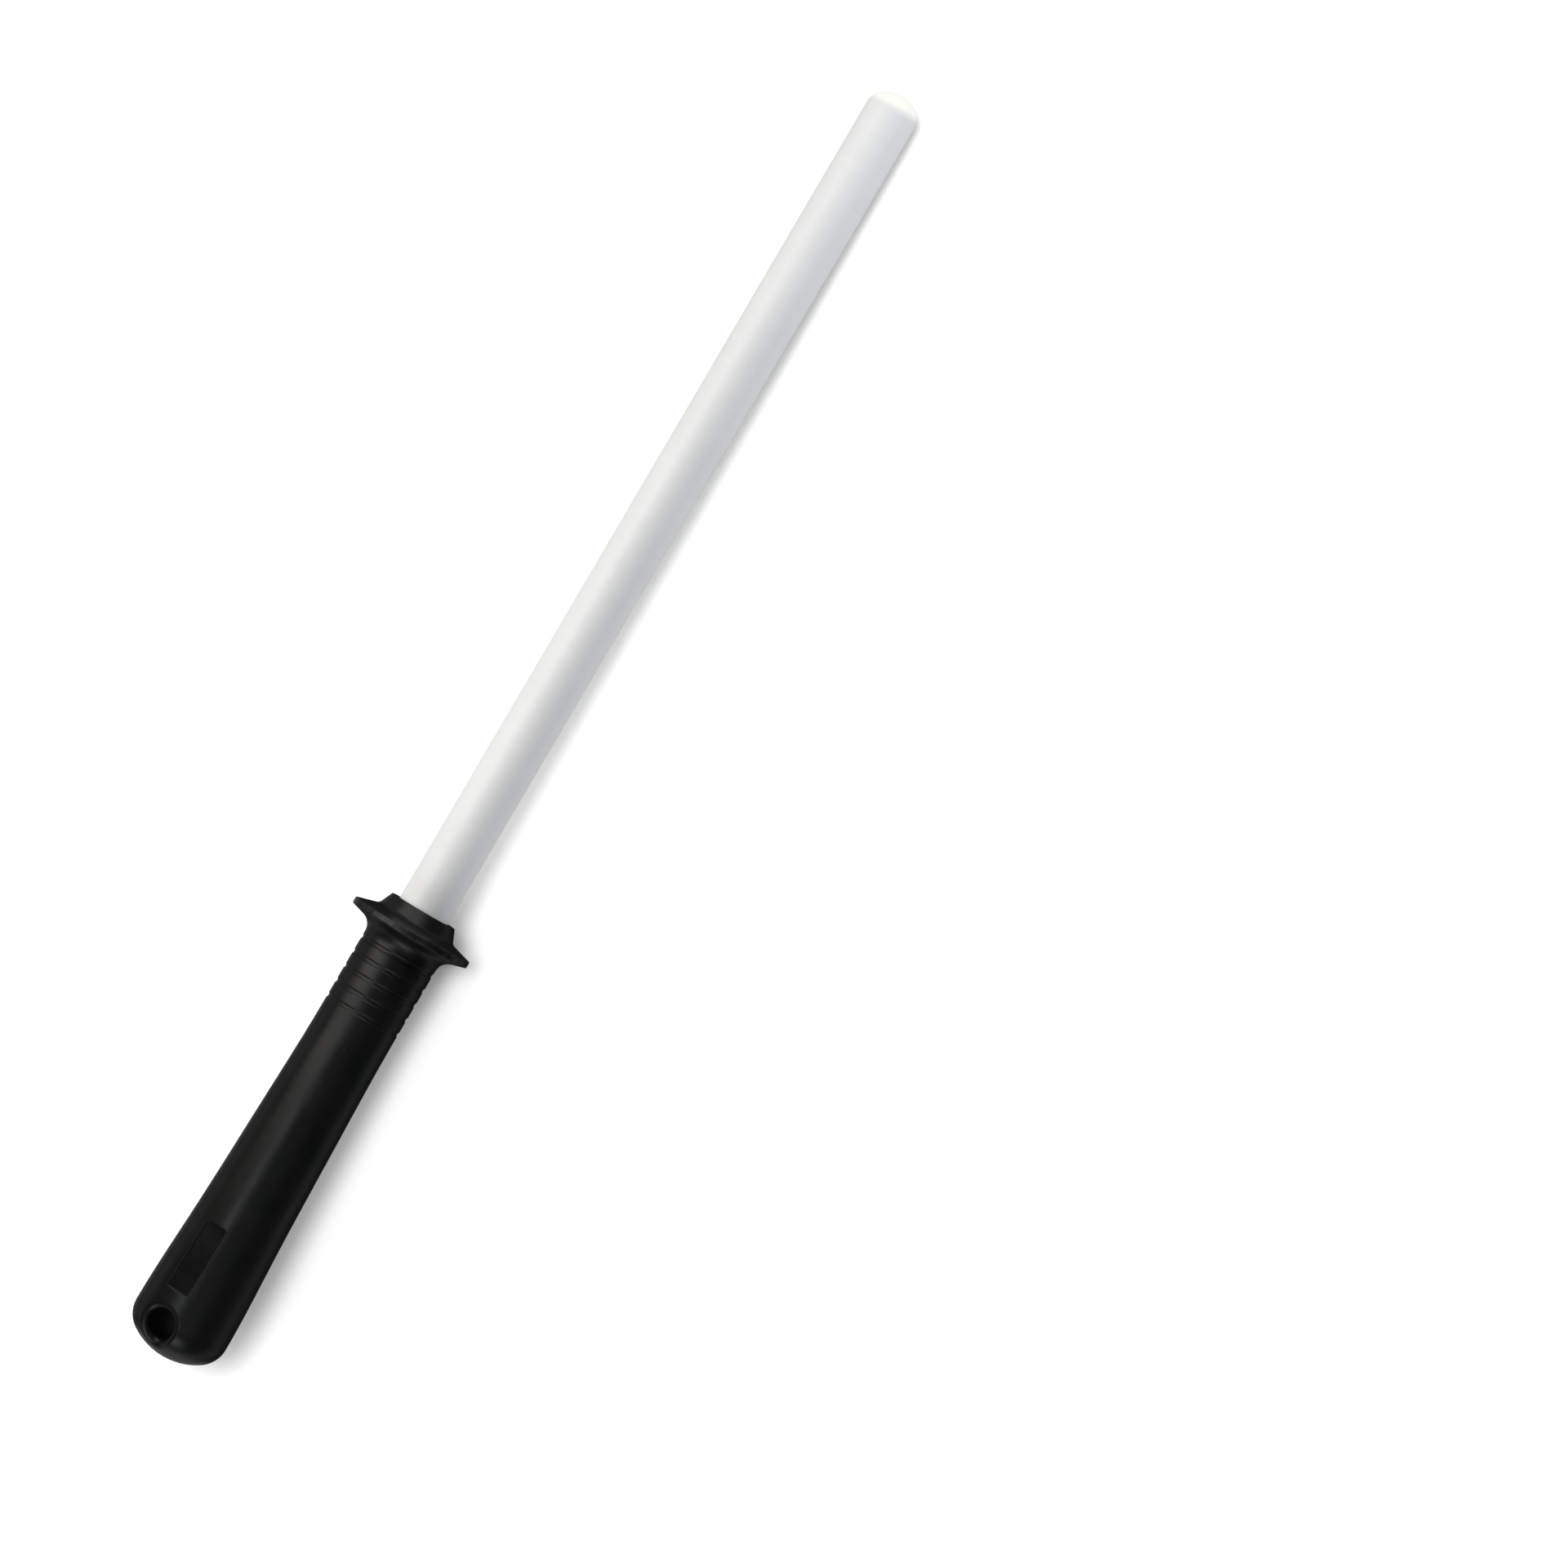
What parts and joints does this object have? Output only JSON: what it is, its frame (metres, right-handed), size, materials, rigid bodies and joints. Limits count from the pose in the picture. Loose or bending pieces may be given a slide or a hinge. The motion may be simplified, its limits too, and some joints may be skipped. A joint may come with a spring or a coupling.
{
  "type": "knife sharpening steel",
  "caption": "Hand-held knife sharpening steel: a round white ceramic rod bonded into a black moulded handle with a disc guard and a hang hole.",
  "frame": {"origin": "centre of the hang hole, on the tool's own axis", "axes": "+X along the tool from the butt towards the rod's tip, +Z along the hang hole and out of the side with the nameplate recess, so the tool lies along X"},
  "size_m": [0.3974, 0.0358, 0.0358],
  "materials": {
    "rod_ceramic": "fine ground, satin",
    "handle_plastic": "satin, fine moulded texture",
    "cured_adhesive": "dull"
  },
  "bodies": {
    "root": {"ceramic_rod": "rod_ceramic", "handle": "handle_plastic", "rod_adhesive": "cured_adhesive"}
  },
  "joints": []
}
